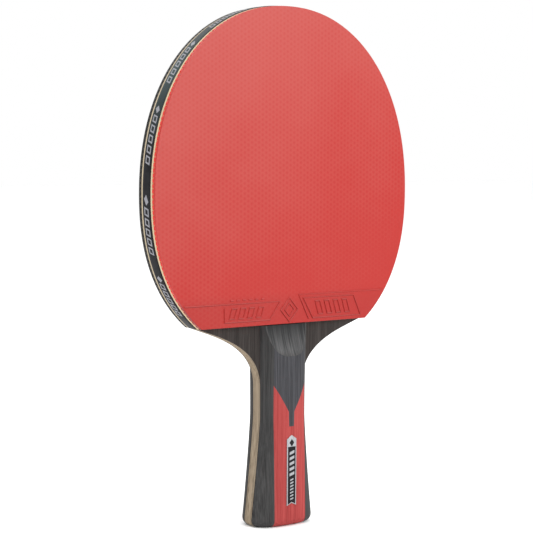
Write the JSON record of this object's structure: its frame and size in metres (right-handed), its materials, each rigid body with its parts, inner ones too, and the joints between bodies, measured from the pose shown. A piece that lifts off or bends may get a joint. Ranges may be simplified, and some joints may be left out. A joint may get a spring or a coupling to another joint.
{
  "type": "table tennis bat",
  "caption": "Table tennis bat with a laminated wood blade, a flared wooden grip, a smooth pimples-in rubber on each side and a taped head edge.",
  "frame": {"origin": "middle of the flat butt end of the grip", "axes": "+Z from the butt to the top of the head, -Y out of the red playing side, +X to the right when the red side is seen upright"},
  "size_m": [0.1506, 0.0234, 0.2498],
  "materials": {
    "pale_wood": "bare wood, sanded smooth",
    "carbon": "woven fibre set in resin, cut edge only",
    "dark_veneer": "brownish black dyed veneer, satin",
    "front_sponge": "matte foamed rubber",
    "back_sponge": "matte foamed rubber",
    "red_rubber": "smooth satin rubber",
    "black_rubber": "smooth satin rubber",
    "edge_tape": "glossy printed tape",
    "dark_wood": "dyed wood with straight grain, satin",
    "arrow_wood": "dyed wood with straight grain, satin",
    "red_wood": "dyed wood with straight grain, satin",
    "badge_metal": "brushed, satin",
    "badge_enamel": "gloss enamel"
  },
  "bodies": {
    "root": {"core_ply": "pale_wood", "carbon_ply_front": "carbon", "inner_ply_front": "pale_wood", "outer_veneer_front": "dark_veneer", "carbon_ply_back": "carbon", "inner_ply_back": "pale_wood", "outer_veneer_back": "dark_veneer", "front_sponge": "front_sponge", "front_topsheet": "red_rubber", "back_sponge": "back_sponge", "back_topsheet": "black_rubber", "edge_tape": "edge_tape", "grip_flank_left_front": "dark_wood", "grip_flank_right_front": "dark_wood", "grip_wing_left_front": "red_wood", "grip_wing_right_front": "red_wood", "grip_arrow_front": "arrow_wood", "grip_spine_front": "red_wood", "grip_flank_left_back": "dark_wood", "grip_flank_right_back": "dark_wood", "grip_wing_left_back": "red_wood", "grip_wing_right_back": "red_wood", "grip_arrow_back": "arrow_wood", "grip_spine_back": "red_wood", "badge_plate": "badge_metal", "badge_panel": "badge_enamel", "badge_lozenge": "badge_enamel"}
  },
  "joints": []
}
